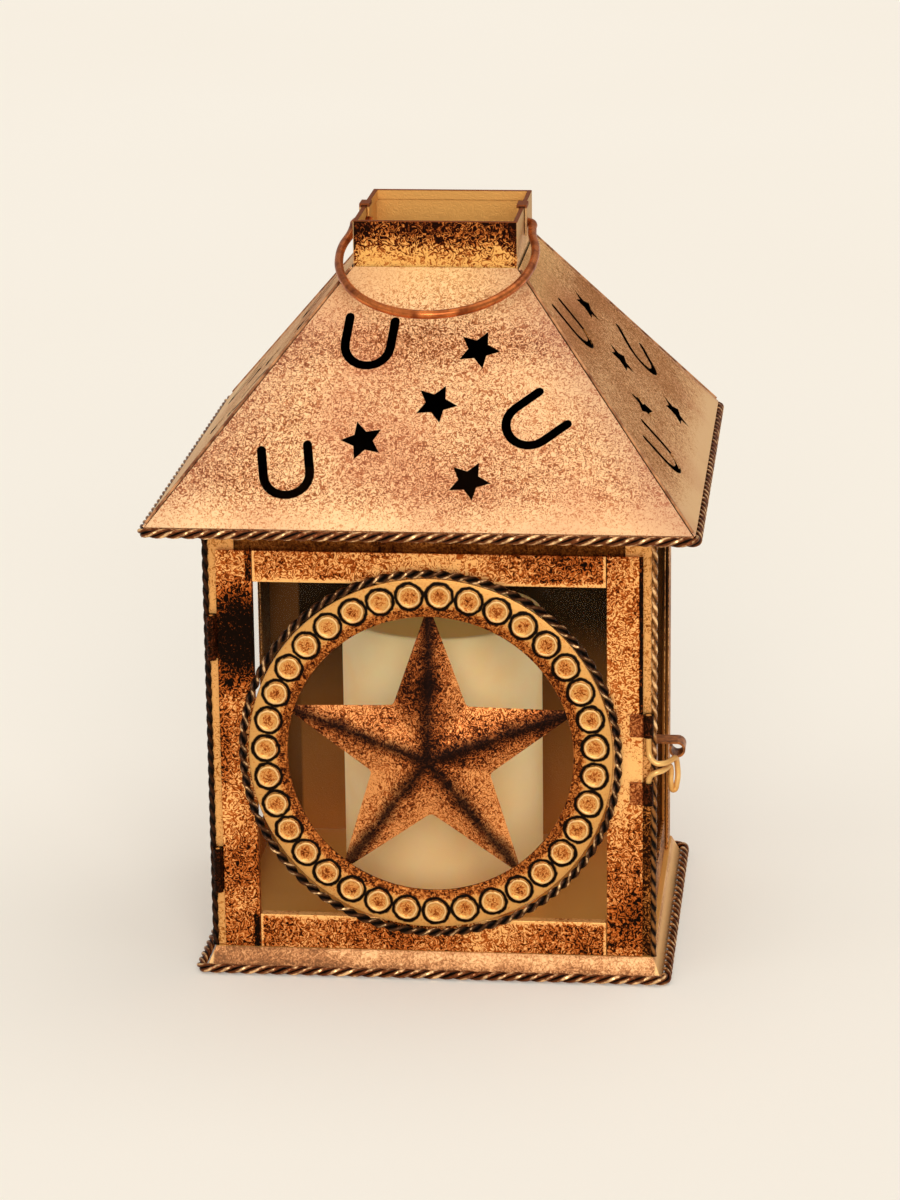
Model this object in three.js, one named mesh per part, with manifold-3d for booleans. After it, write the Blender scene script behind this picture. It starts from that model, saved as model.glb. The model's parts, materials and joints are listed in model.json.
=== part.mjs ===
// A square candle lantern in painted sheet metal. Four angle posts stand on a flared base tray
// and carry a pyramid roof with an open chimney and a wire bail. The front is a hinged door with
// a window, a star medallion and a wire hasp, and a pillar candle stands inside.
// Millimetres, +Z up, the front faces -Y, and the origin is on the ground under the centre.

import * as THREE from "three";
import { mergeVertices } from "three/addons/utils/BufferGeometryUtils.js";
import Module from "manifold-3d";

const wasm = await Module();
wasm.setup();

// Driving dimensions: stock and fits
const clearance = 0.3;
const sheet = 1.0;
const glassThickness = 2.0;
const glassLap = 4.0;

// Body
const bodyWidth = 162.6;
const bodyDepth = 132.0;
const postHeight = 167.9;
const frontFlange = 10.0;
const sideFlange = 16.0;
const headerHeight = 16.2;
const cornerRopeRadius = 1.25;
const cornerRopeForward = 0.4;

// Base tray
const floorHeight = 8.3;
const flareSide = 6.2;
const flareFront = 8.0;
const skirtShoulder = 0.6;
const skirtFoot = 0.0;
const baseRopeRadius = 1.75;

// Side windows
const sideWindowWidth = 94.0;

// Door
const doorFootGap = 0.6;
const doorHeight = 153.6;
const doorReveal = 3.35;
const stileWidth = 13.15;
const topRailHeight = 11.7;
const bottomRailHeight = 12.9;
const lipDepth = 3.0;

// Door hinges
const hingeLength = 17.0;
const hingeMiddle = 7.0;
const hingeFromTop = 33.0;
const hingeFromBottom = 30.2;
const barrelRadius = 1.7;
const hingePinRadius = 0.75;
const hingePinFit = 0.15;
const leafThickness = 0.6;
const leafWidth = 7.0;
const knuckleGap = 0.3;

// Medallion
const medallionLap = 6.4;
const medallionRopeRadius = 1.7;
const ringBand = 15.0;
const ringThickness = 1.2;
const beadCount = 35;
const beadRadius = 4.2;
const beadTopRadius = 3.6;
const beadHeight = 0.9;
const beadPhase = 0.37;
const starInnerRadius = 23.0;
const starTipReach = 4.8;
const starHeight = 9.5;
const starWall = 1.2;

// Wire hasp and its catch
const latchHeight = 74.6;
const haspWireRadius = 1.05;
const haspWireFit = 0.2;
const strapThickness = 0.6;
const strapHeight = 8.6;
const strapTab = 4.7;
const upperStrapAbove = 15.5;
const lowerStrapBelow = 10.6;
const haspReach = 9.9;
const haspSetback = 8.9;
const haspTailDrop = 11.2;
const haspLegSpread = 3.1;
const catchLength = 8.5;
const catchThickness = 0.8;
const catchCurlRadius = 3.0;
const catchCurlTurn = 300;
const catchRise = 6.2;
const catchFoot = 10.0;

// Roof and chimney
const overhangSide = 17.7;
const overhangFront = 36.5;
const eaveRopeRadius = 1.75;
const eavePanThickness = 0.8;
const eavePanLap = 11.3;
const eaveRimHeight = 1.7;
const eaveDrip = 1.5;
const roofSheet = 0.6;
const roofRise = 81.4;
const hipSeamRadius = 0.5;
const chimneyWidth = 60.0;
const chimneyDepth = 63.0;
const chimneyRise = 16.3;
const chimneySkirt = 6.0;
const hemHeight = 3.7;
const hemThickness = 0.6;

// Cut-outs in the front and side faces of the roof
const horseshoeSpan = 16.6;
const horseshoeLength = 22.4;
const horseshoeSlot = 3.3;
const starCutRadius = 7.9;
const starCutWaist = 0.48;

// Bail handle
const bailWireRadius = 1.75;
const bailFit = 0.3;
const bailElbowWidth = 33.2;
const bailBowStart = 10.0;
const bailBowWidth = 35.8;
const bailBowCentre = 25.4;
const bailBowDepth = 44.8;
const bailPivotDrop = 6.2;
const bailRestAngle = 17.0;
const bailTailInside = 2.5;
const earLength = 8.0;
const earDrop = 10.5;
const earThickness = 0.8;

// Candle
const candleRadius = 38.1;
const candleHeight = 112.3;
const candleX = -2.6;
const candleRim = 4.0;
const candleRecess = 3.0;
const wickRadius = 0.9;
const wickHeight = 6.0;

// Places worked out from the driving dimensions
const bodyX = bodyWidth / 2;
const bodyY = bodyDepth / 2;
const postFoot = floorHeight + clearance;
const bodyTop = postFoot + postHeight;
const baseRopeX = bodyX + flareSide;
const baseRopeY = bodyY + flareFront;

const liningX = bodyX - sheet - clearance;
const liningY = bodyY - sheet - clearance;
const bandX = liningX - sheet - clearance;
const bandY = liningY - sheet - clearance;

const doorBottom = floorHeight + doorFootGap;
const doorTop = doorBottom + doorHeight;
const doorX = bodyX - doorReveal;
const windowX = doorX - stileWidth;
const windowBottom = doorBottom + bottomRailHeight;
const windowTop = doorTop - topRailHeight;
const leafFront = bodyY + clearance + leafThickness;
const doorBack = leafFront + clearance;
const doorFront = doorBack + sheet;

const hingeX = -(doorX + clearance + barrelRadius);
const hingeY = -(leafFront + clearance + barrelRadius);
const hingeBore = hingePinRadius + hingePinFit;

const medallionZ = (windowBottom + windowTop) / 2;
const medallionRadius = Math.min(windowX, (windowTop - windowBottom) / 2) + medallionLap;
const medallionRopeCentre = medallionRadius - medallionRopeRadius;
const ringOuter = medallionRopeCentre - medallionRopeRadius - clearance;
const ringInner = ringOuter - ringBand;
const beadCircle = (ringOuter + ringInner) / 2 + 0.8;
const medallionBack = doorFront + clearance;

const latchZ = doorBottom + latchHeight;
const strapBore = haspWireRadius + haspWireFit;
const strapBarrel = strapBore + strapThickness;
const haspX = doorX + clearance + strapBarrel;
const haspY = -(doorFront + clearance + strapThickness / 2);

const eaveZ = bodyTop + clearance;
const eaveTop = eaveZ + eavePanThickness;
const eaveRopeX = bodyX + overhangSide;
const eaveRopeY = bodyY + overhangFront;
const eaveX = eaveRopeX - eaveRopeRadius - clearance;
const eaveY = eaveRopeY - eaveRopeRadius - clearance;
const eaveRimTop = eaveTop + eaveRimHeight;
const roofFootX = eaveX + eaveDrip;
const roofFootY = eaveY + eaveDrip;
const roofBottom = eaveRimTop + clearance;
const roofTop = roofBottom + roofRise;
const collarX = chimneyWidth / 2;
const collarY = chimneyDepth / 2;
const roofTopX = collarX + clearance;
const roofTopY = collarY + clearance;
const chimneyTop = roofTop + chimneyRise;
const bailPivotZ = chimneyTop - bailPivotDrop;
const bailBore = bailWireRadius + bailFit;

// Finishes
const copper = { color: 0xb27a4a, roughness: 0.5, metalness: 0.6 };
const darkCopper = { color: 0x5a3a24, roughness: 0.55, metalness: 0.6 };
const gold = { color: 0xc99a5b, roughness: 0.45, metalness: 0.6 };
const paleWire = { color: 0xd8b27a, roughness: 0.35, metalness: 0.7 };
const clearGlass = { color: 0xe6efec, roughness: 0.05, metalness: 0.0, transparent: true, opacity: 0.3 };
const ivoryWax = { color: 0xe9dcc0, roughness: 0.6, metalness: 0.0 };
const wickCotton = { color: 0x3c352c, roughness: 0.9, metalness: 0.0 };

const lantern = new THREE.Group();

function add(name, geometry, finish, parent = lantern) {
  const mesh = new THREE.Mesh(geometry, new THREE.MeshStandardMaterial(finish));
  mesh.name = name;
  parent.add(mesh);
  return mesh;
}

// Solids for cutting and joining
function solid(geometry) {
  const bare = geometry.clone();
  bare.deleteAttribute("normal");
  bare.deleteAttribute("uv");
  const merged = mergeVertices(bare, 1e-4);
  return new wasm.Manifold(new wasm.Mesh({
    numProp: 3,
    vertProperties: new Float32Array(merged.attributes.position.array),
    triVerts: new Uint32Array(merged.index.array),
  }));
}

function geometryOf(body) {
  const mesh = body.getMesh();
  const geometry = new THREE.BufferGeometry();
  geometry.setAttribute("position", new THREE.BufferAttribute(mesh.vertProperties, 3));
  geometry.setIndex(new THREE.BufferAttribute(mesh.triVerts, 1));
  geometry.computeVertexNormals();
  return geometry;
}

// A box between two corners
function block(x0, x1, y0, y1, z0, z1) {
  const box = new THREE.BoxGeometry(x1 - x0, y1 - y0, z1 - z0);
  return box.translate((x0 + x1) / 2, (y0 + y1) / 2, (z0 + z1) / 2);
}

// A box whose lower and upper rectangles differ
function taperedBox(lowX, lowY, highX, highY, z0, z1) {
  const box = new THREE.BoxGeometry(2, 2, 2);
  const place = box.attributes.position;
  for (let i = 0; i < place.count; i += 1) {
    const high = place.getZ(i) > 0;
    const x = place.getX(i) * (high ? highX : lowX);
    const y = place.getY(i) * (high ? highY : lowY);
    place.setXYZ(i, x, y, high ? z1 : z0);
  }
  return box;
}

// An outline given by points, extruded along +Z
function plate(points, depth, holes = []) {
  const shape = new THREE.Shape(points.map(([x, y]) => new THREE.Vector2(x, y)));
  shape.holes.push(...holes);
  return new THREE.ExtrudeGeometry(shape, { depth, bevelEnabled: false, curveSegments: 6 });
}

function rectangle(x0, x1, y0, y1) {
  return [[x0, y0], [x1, y0], [x1, y1], [x0, y1]];
}

function hole(points) {
  return new THREE.Path(points.map(([x, y]) => new THREE.Vector2(x, y)));
}

// An upright round bar
function upright(radius, z0, z1, sides = 12) {
  const bar = new THREE.CylinderGeometry(radius, radius, z1 - z0, sides);
  return bar.rotateX(Math.PI / 2).translate(0, 0, (z0 + z1) / 2);
}

// A round bar along X
function crossbar(radius, length, sides = 12) {
  return new THREE.CylinderGeometry(radius, radius, length, sides).rotateZ(Math.PI / 2);
}

// A rope that runs round a rectangle with mitred corners
function ropeLoop(halfX, halfY, radius) {
  const sides = 8;
  const half = 10 * radius;
  const profile = [];
  for (let i = 0; i <= sides; i += 1) {
    const turn = (2 * Math.PI * (i % sides)) / sides;
    profile.push(new THREE.Vector2((half + radius * Math.cos(turn)) * Math.SQRT2, radius * Math.sin(turn)));
  }
  const loop = new THREE.LatheGeometry(profile, 4).rotateX(Math.PI / 2).rotateZ(Math.PI / 4);
  const place = loop.attributes.position;
  for (let i = 0; i < place.count; i += 1) {
    const x = place.getX(i);
    const y = place.getY(i);
    place.setX(i, x + Math.sign(x) * (halfX - half));
    place.setY(i, y + Math.sign(y) * (halfY - half));
  }
  return loop;
}

// A round wire along a smooth curve
function wire(points, radius, steps, sides = 8) {
  const curve = new THREE.CatmullRomCurve3(points.map((p) => new THREE.Vector3(...p)), false, "centripetal");
  const section = new THREE.Shape();
  for (let i = 0; i < sides; i += 1) {
    const turn = (2 * Math.PI * i) / sides;
    const x = radius * Math.cos(turn);
    const y = radius * Math.sin(turn);
    if (i === 0) section.moveTo(x, y);
    else section.lineTo(x, y);
  }
  section.closePath();
  return new THREE.ExtrudeGeometry(section, { steps, extrudePath: curve, bevelEnabled: false });
}

// Base tray: an upside-down pan with flared skirts, edged with a twisted-wire rope
function makeBase() {
  const shoulderX = bodyX + skirtShoulder;
  const shoulderY = bodyY + skirtShoulder;
  const footX = baseRopeX - baseRopeRadius - clearance;
  const footY = baseRopeY - baseRopeRadius - clearance;
  const outer = solid(taperedBox(footX, footY, shoulderX, shoulderY, skirtFoot, floorHeight));
  const under = floorHeight - sheet;
  const inner = solid(taperedBox(
    footX - sheet, footY - sheet, shoulderX - sheet, shoulderY - sheet, skirtFoot - sheet, under));
  add("base_tray", geometryOf(outer.subtract(inner)), copper);
  add("base_rope", ropeLoop(baseRopeX, baseRopeY, baseRopeRadius), darkCopper)
    .position.z = baseRopeRadius;
}

// Corner posts of folded angle, with a rope up each front corner
function makePosts() {
  const corners = [
    ["post_front_left", -1, -1], ["post_front_right", 1, -1],
    ["post_back_left", -1, 1], ["post_back_right", 1, 1],
  ];
  for (const [name, sideX, sideY] of corners) {
    const outline = [
      [0, 0], [0, sideFlange], [sheet, sideFlange], [sheet, sheet], [frontFlange, sheet], [frontFlange, 0],
    ].map(([inX, inY]) => [sideX * (bodyX - inX), sideY * (bodyY - inY)]);
    add(name, plate(outline, postHeight), copper).position.z = postFoot;
  }
  for (const [name, side] of [["corner_rope_left", -1], ["corner_rope_right", 1]]) {
    const rope = add(name, upright(cornerRopeRadius, postFoot, bodyTop, 8), darkCopper);
    rope.position.set(side * (bodyX + clearance + cornerRopeRadius), -bodyY - cornerRopeForward, 0);
  }
}

// The band that ties the posts together above the door
function makeHeader() {
  const inner = hole(rectangle(-bandX + sheet, bandX - sheet, -bandY + sheet, bandY - sheet));
  const band = plate(rectangle(-bandX, bandX, -bandY, bandY), headerHeight, [inner]);
  add("header_band", band, copper).position.z = bodyTop - headerHeight;
}

// Side walls with a glazed window, and the plain back wall
function makeWalls() {
  const halfWindow = sideWindowWidth / 2;
  for (const [name, side] of [["left", -1], ["right", 1]]) {
    const opening = hole(rectangle(-halfWindow, halfWindow, windowBottom, windowTop));
    const wall = plate(rectangle(-liningY, liningY, postFoot, bodyTop), sheet, [opening]);
    wall.rotateX(Math.PI / 2).rotateZ(Math.PI / 2);
    add(`side_frame_${name}`, wall, copper).position.x = side > 0 ? liningX - sheet : -liningX;
    const pane = liningX - sheet - clearance;
    const x0 = side > 0 ? pane - glassThickness : -pane;
    add(`side_glass_${name}`, block(
      x0, x0 + glassThickness, -halfWindow - glassLap, halfWindow + glassLap,
      windowBottom - glassLap, windowTop + glassLap), clearGlass);
  }
  const backX = liningX - sheet - clearance;
  add("back_panel", block(-backX, backX, liningY - sheet, liningY, postFoot, bodyTop), copper);
}

// Door frame: two full-height stiles and two rails, each folded back round the window
function makeDoor() {
  const lipBack = -doorBack + lipDepth;
  for (const [name, side] of [["door_stile_hinge", -1], ["door_stile_latch", 1]]) {
    const outline = [
      [windowX, -doorFront], [doorX, -doorFront], [doorX, -doorBack],
      [windowX + sheet, -doorBack], [windowX + sheet, lipBack], [windowX, lipBack],
    ].map(([x, y]) => [side * x, y]);
    add(name, plate(outline, doorHeight), copper).position.z = doorBottom;
  }
  const railHalf = windowX - clearance;
  const rails = [
    ["door_rail_bottom", doorBottom, windowBottom, -1],
    ["door_rail_top", doorTop, windowTop, 1],
  ];
  for (const [name, outerZ, innerZ, side] of rails) {
    const outline = [
      [-doorFront, outerZ], [-doorBack, outerZ], [-doorBack, innerZ + side * sheet],
      [lipBack, innerZ + side * sheet], [lipBack, innerZ], [-doorFront, innerZ],
    ];
    const rail = plate(outline, 2 * railHalf).rotateX(Math.PI / 2).rotateZ(Math.PI / 2);
    add(name, rail, copper).position.x = -railHalf;
  }
  const glassX = windowX + glassLap;
  const glassFront = lipBack + clearance;
  add("door_glass", block(
    -glassX, glassX, glassFront, glassFront + glassThickness,
    windowBottom - glassLap, windowTop + glassLap), clearGlass);
}

// Medallion: a beaded ring, a hollow raised star and a rope rim
function makeMedallion() {
  const ringShape = new THREE.LatheGeometry([
    [ringInner, 0], [ringOuter, 0], [ringOuter, ringThickness], [ringInner, ringThickness], [ringInner, 0],
  ].map(([r, z]) => new THREE.Vector2(r, z)), 72);
  let ring = solid(ringShape);
  const sink = ringThickness / 2;
  for (let i = 0; i < beadCount; i += 1) {
    const turn = (2 * Math.PI * (i + beadPhase)) / beadCount;
    const bead = new THREE.CylinderGeometry(beadTopRadius, beadRadius, beadHeight + sink, 12);
    bead.translate(
      beadCircle * Math.sin(turn), ringThickness + (beadHeight - sink) / 2, -beadCircle * Math.cos(turn));
    ring = ring.add(solid(bead));
  }
  const medallion = new THREE.Group();
  medallion.position.set(0, -medallionBack, medallionZ);
  medallion.rotation.x = Math.PI;
  lantern.add(medallion);
  add("medallion_ring", geometryOf(ring), gold, medallion);

  const rope = new THREE.TorusGeometry(medallionRopeCentre, medallionRopeRadius, 8, 64).rotateX(Math.PI / 2);
  add("medallion_rope", rope, darkCopper, medallion).position.y = medallionRopeRadius;

  const starOuter = ringInner + starTipReach;
  const pyramid = (height) => {
    const star = new THREE.ConeGeometry(starOuter, height, 10).translate(0, height / 2, 0);
    const place = star.attributes.position;
    for (let i = 0; i < place.count; i += 1) {
      const x = place.getX(i);
      const z = place.getZ(i);
      const radius = Math.hypot(x, z);
      const spoke = Math.round((Math.atan2(x, z) * 5) / Math.PI);
      const waist = radius > 1 && spoke % 2 === 0 ? starInnerRadius / starOuter : 1;
      place.setX(i, x * waist);
      place.setZ(i, z * waist);
    }
    return star;
  };
  const rim = new THREE.CylinderGeometry(ringInner - clearance, ringInner - clearance, 4 * starHeight, 72);
  const shell = solid(pyramid(starHeight))
    .subtract(solid(pyramid(starHeight).translate(0, -starWall, 0)))
    .intersect(solid(rim));
  add("medallion_star", geometryOf(shell), copper, medallion);
}

// Barrel hinges: a fixed leaf with two knuckles, a door leaf with one, and a pin
function makeHinge(name, middleZ) {
  const low = middleZ - hingeLength / 2;
  const high = middleZ + hingeLength / 2;
  const innerLow = middleZ - hingeMiddle / 2;
  const innerHigh = middleZ + hingeMiddle / 2;
  const leafBack = -leafFront + leafThickness;
  const neckY = hingeY + hingeBore;
  const bore = solid(upright(hingeBore, low - 1, high + 1).translate(hingeX, hingeY, 0));
  const knuckle = (z0, z1) => solid(upright(barrelRadius, z0, z1).translate(hingeX, hingeY, 0));

  const fixedEdge = hingeX - clearance / 2;
  const fixedOuter = -bodyX;
  let fixed = solid(block(fixedOuter, fixedEdge, -leafFront, leafBack, low, high));
  for (const [z0, z1] of [[low, innerLow - knuckleGap], [innerHigh + knuckleGap, high]]) {
    const neck = block(fixedOuter + clearance, fixedEdge, neckY, leafBack, z0, z1);
    fixed = fixed.add(knuckle(z0, z1)).add(solid(neck));
  }
  add(`${name}_post_leaf`, geometryOf(fixed.subtract(bore)), darkCopper);

  const doorEdge = hingeX + clearance / 2;
  const neck = block(doorEdge, -doorX - clearance, neckY, leafBack, innerLow, innerHigh);
  const leaf = block(doorEdge, doorEdge + leafWidth, -leafFront, leafBack, low, high);
  const moving = solid(leaf).add(knuckle(innerLow, innerHigh)).add(solid(neck)).subtract(bore);
  add(`${name}_door_leaf`, geometryOf(moving), darkCopper);

  add(`${name}_pin`, upright(hingePinRadius, low, high), paleWire).position.set(hingeX, hingeY, 0);
}

// Wire hasp on two wrapped straps, and the curled catch on the side of the body
function makeHasp() {
  const straps = [
    ["hasp_strap_upper", latchZ + upperStrapAbove],
    ["hasp_strap_lower", latchZ - lowerStrapBelow],
  ];
  for (const [name, middle] of straps) {
    const z0 = middle - strapHeight / 2;
    const z1 = middle + strapHeight / 2;
    const tab = block(
      doorX - strapTab, haspX - strapBore, haspY - strapThickness / 2, haspY + strapThickness / 2, z0, z1);
    const barrel = upright(strapBarrel, z0, z1, 14).translate(haspX, haspY, 0);
    const bore = upright(strapBore, z0 - 1, z1 + 1, 14).translate(haspX, haspY, 0);
    add(name, geometryOf(solid(tab).add(solid(barrel)).subtract(solid(bore))), darkCopper);
  }

  const top = upperStrapAbove + strapHeight / 2;
  const bottom = -lowerStrapBelow - strapHeight / 2;
  const upperLeg = haspLegSpread / 2;
  const lowerLeg = -haspLegSpread / 2;
  const tail = lowerLeg - haspTailDrop + haspWireRadius;
  const tailGap = 2 * haspWireRadius + clearance;
  const innerReach = haspReach - tailGap;
  const innerSetback = haspSetback - 1.0;
  const route = [
    [0, 0, top], [0, 0, upperLeg + 7], [0.5, -0.4, upperLeg + 2.6], [2.6, -1.4, upperLeg + 0.4],
    [0.53 * haspReach, -0.7, upperLeg], [0.78 * haspReach, 0.28 * haspSetback, upperLeg],
    [0.95 * haspReach, 0.72 * haspSetback, upperLeg - 0.2], [haspReach, haspSetback, upperLeg - 2.6],
    [haspReach, haspSetback, tail + 2.5], [haspReach - tailGap / 2, haspSetback - 0.5, tail],
    [innerReach, innerSetback, tail + 2.5], [innerReach, innerSetback, lowerLeg - 2.4],
    [0.95 * innerReach, 0.72 * haspSetback, lowerLeg - 0.2], [0.8 * innerReach, 0.32 * haspSetback, lowerLeg],
    [0.62 * innerReach, -0.1, lowerLeg], [2.6, -1.4, lowerLeg - 0.4],
    [0.5, -0.4, lowerLeg - 2.4], [0, 0, lowerLeg - 5], [0, 0, bottom],
  ];
  add("hasp_wire", wire(route, haspWireRadius, 84), paleWire).position.set(haspX, haspY, latchZ);

  const wall = bodyX + clearance;
  const ceiling = latchZ + catchRise;
  const curlX = haspX + haspReach;
  const curlZ = ceiling - catchCurlRadius;
  const lipTurn = Math.PI / 2 - (catchCurlTurn * Math.PI) / 180;
  const section = new THREE.Shape();
  section.moveTo(wall, ceiling - catchFoot);
  section.lineTo(wall, ceiling);
  section.absarc(curlX, curlZ, catchCurlRadius, Math.PI / 2, lipTurn, true);
  section.absarc(curlX, curlZ, catchCurlRadius - catchThickness, lipTurn, Math.PI / 2, false);
  section.lineTo(wall + catchThickness, ceiling - catchThickness);
  section.lineTo(wall + catchThickness, ceiling - catchFoot);
  section.closePath();
  const rolled = { depth: catchLength, bevelEnabled: false, curveSegments: 10 };
  const curl = new THREE.ExtrudeGeometry(section, rolled);
  const catchFront = haspY + haspSetback + haspWireRadius + clearance;
  add("hasp_catch", curl.rotateX(Math.PI / 2), darkCopper).position.y = catchFront + catchLength;
}

// Five-pointed star outline for a roof cut-out
function starCut(u, w, tilt) {
  const points = [];
  for (let i = 0; i < 10; i += 1) {
    const radius = i % 2 === 0 ? starCutRadius : starCutRadius * starCutWaist;
    const turn = tilt + (i * Math.PI) / 5;
    points.push([u - radius * Math.sin(turn), w + radius * Math.cos(turn)]);
  }
  return hole(points);
}

// Horseshoe slot: a half ring with two straight legs and round ends
function horseshoeCut(u, w, tilt) {
  const outer = (horseshoeSpan + horseshoeSlot) / 2;
  const inner = (horseshoeSpan - horseshoeSlot) / 2;
  const end = horseshoeSlot / 2;
  const bend = outer - horseshoeLength / 2;
  const tip = horseshoeLength / 2 - end;
  const points = [];
  const arc = (cx, cy, radius, from, to, count) => {
    for (let i = 0; i <= count; i += 1) {
      const turn = from + ((to - from) * i) / count;
      points.push([cx + radius * Math.cos(turn), cy + radius * Math.sin(turn)]);
    }
  };
  arc(0, bend, outer, -Math.PI, 0, 12);
  arc(horseshoeSpan / 2, tip, end, 0, Math.PI, 4);
  arc(0, bend, inner, 0, -Math.PI, 10);
  arc(-horseshoeSpan / 2, tip, end, 0, Math.PI, 4);
  const c = Math.cos(tilt);
  const s = Math.sin(tilt);
  return hole(points.map(([x, y]) => [u + c * x - s * y, w + s * x + c * y]));
}

// Roof: four panels on an eave pan and rim, all but the back one punched, with hip seams and an eave rope
function makeRoof() {
  const mouthX = bodyX - eavePanLap;
  const mouthY = bodyY - eavePanLap;
  const mouth = hole(rectangle(-mouthX, mouthX, -mouthY, mouthY));
  const outline = rectangle(-eaveX, eaveX, -eaveY, eaveY);
  add("eave_pan", plate(outline, eavePanThickness, [mouth]), copper).position.z = eaveZ;
  const rimX = eaveX - eavePanThickness;
  const rimY = eaveY - eavePanThickness;
  const within = hole(rectangle(-rimX, rimX, -rimY, rimY));
  const rimFoot = eaveTop + clearance;
  add("eave_rim", plate(outline, eaveRimTop - rimFoot, [within]), copper).position.z = rimFoot;
  add("eave_rope", ropeLoop(eaveRopeX, eaveRopeY, eaveRopeRadius), darkCopper)
    .position.z = roofBottom - eaveRopeRadius;

  const hipGap = hipSeamRadius + clearance;
  const faces = [
    ["roof_front", 0, roofFootX, roofTopX, roofFootY, roofTopY],
    ["roof_right", 1, roofFootY, roofTopY, roofFootX, roofTopX],
    ["roof_back", 2, roofFootX, roofTopX, roofFootY, roofTopY],
    ["roof_left", 3, roofFootY, roofTopY, roofFootX, roofTopX],
  ];
  for (const [name, quarter, lowHalf, highHalf, lowOut, highOut] of faces) {
    const run = lowOut - highOut;
    const slope = Math.atan2(roofRise, run);
    const length = Math.hypot(roofRise, run);
    const lean = (lowHalf - highHalf) / length;
    const pull = hipGap * Math.hypot(1, lean);
    const low = (roofSheet * Math.cos(slope)) / Math.sin(slope);
    const high = length - (roofSheet * Math.sin(slope)) / Math.cos(slope);
    const half = (w) => lowHalf - lean * w - pull;
    const blank = [[-half(low), low], [half(low), low], [half(high), high], [-half(high), high]];
    const cuts = name === "roof_back" ? [] : [
      horseshoeCut(-22.3, 75.8, -0.1), horseshoeCut(-48.2, 23.6, 0.15), horseshoeCut(38.5, 44.2, -0.88),
      starCut(-21.8, 36.1, 0.3), starCut(3.7, 51.3, -0.42),
      starCut(17.8, 73.3, -0.4), starCut(17.2, 20.8, -0.43),
    ];
    const side = new THREE.Group();
    side.rotation.z = (quarter * Math.PI) / 2;
    lantern.add(side);
    const panel = add(name, plate(blank, roofSheet, cuts).translate(0, 0, -roofSheet), copper, side);
    panel.position.set(0, -lowOut, roofBottom);
    panel.rotation.x = slope;
  }

  for (const [name, sideX, sideY] of [
    ["hip_seam_front_left", -1, -1], ["hip_seam_front_right", 1, -1],
    ["hip_seam_back_left", -1, 1], ["hip_seam_back_right", 1, 1],
  ]) {
    const foot = new THREE.Vector3(sideX * roofFootX, sideY * roofFootY, roofBottom);
    const head = new THREE.Vector3(sideX * roofTopX, sideY * roofTopY, roofTop);
    const start = foot.clone().lerp(head, 0.02);
    const end = foot.clone().lerp(head, 0.985);
    const seam = add(name, new THREE.CylinderGeometry(
      hipSeamRadius, hipSeamRadius, start.distanceTo(end), 8), copper);
    seam.position.copy(start).lerp(end, 0.5);
    seam.quaternion.setFromUnitVectors(new THREE.Vector3(0, 1, 0), end.clone().sub(start).normalize());
  }
}

// Chimney collar with a folded hem, and a clip on each side that carries the bail
function makeChimney() {
  const bottom = roofTop - chimneySkirt;
  const hemFoot = chimneyTop - hemHeight;
  const innerX = collarX - sheet;
  const innerY = collarY - sheet;
  const hemX = innerX - hemThickness;
  const hemY = innerY - hemThickness;
  const pivot = solid(crossbar(bailBore, 3 * chimneyWidth).translate(0, 0, bailPivotZ));
  const collar = solid(block(-collarX, collarX, -collarY, collarY, bottom, chimneyTop))
    .subtract(solid(block(-innerX, innerX, -innerY, innerY, bottom - 1, hemFoot)))
    .subtract(solid(block(-hemX, hemX, -hemY, hemY, hemFoot - 1, chimneyTop + 1)))
    .subtract(pivot);
  add("chimney_collar", geometryOf(collar), copper);

  const outerFace = collarX + clearance;
  const innerFace = hemX - clearance;
  const bridge = chimneyTop + clearance;
  const outline = [
    [outerFace, chimneyTop - earDrop], [outerFace + earThickness, chimneyTop - earDrop],
    [outerFace + earThickness, bridge + earThickness], [innerFace - earThickness, bridge + earThickness],
    [innerFace - earThickness, hemFoot], [innerFace, hemFoot], [innerFace, bridge], [outerFace, bridge],
  ];
  for (const [name, side] of [["bail_ear_left", -1], ["bail_ear_right", 1]]) {
    const clip = plate(outline.map(([x, z]) => [side * x, z]), earLength);
    clip.rotateX(Math.PI / 2).translate(0, earLength / 2, 0);
    add(name, geometryOf(solid(clip).subtract(pivot)), copper);
  }
}

// Bail: a wire hoop on the chimney, lying forward on the roof
function makeBail() {
  const tip = collarX - sheet - bailTailInside + clearance;
  const elbow = 1.4;
  const half = [
    [tip, 0], [bailElbowWidth - elbow, 0],
    [bailElbowWidth - 0.2, 0.9 * elbow], [bailElbowWidth, bailBowStart / 2],
  ];
  const first = Math.asin((bailBowStart - bailBowCentre) / bailBowDepth);
  const bowSteps = 9;
  for (let i = 0; i < bowSteps; i += 1) {
    const turn = first + ((Math.PI / 2 - first) * i) / bowSteps;
    half.push([bailBowWidth * Math.cos(turn), bailBowCentre + bailBowDepth * Math.sin(turn)]);
  }
  const route = [
    ...half.map(([x, v]) => [-x, -v, 0]), [0, -bailBowCentre - bailBowDepth, 0],
    ...half.reverse().map(([x, v]) => [x, -v, 0]),
  ];
  const bail = add("bail", wire(route, bailWireRadius, 72), copper);
  bail.position.z = bailPivotZ;
  bail.rotation.x = (bailRestAngle * Math.PI) / 180;
}

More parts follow.
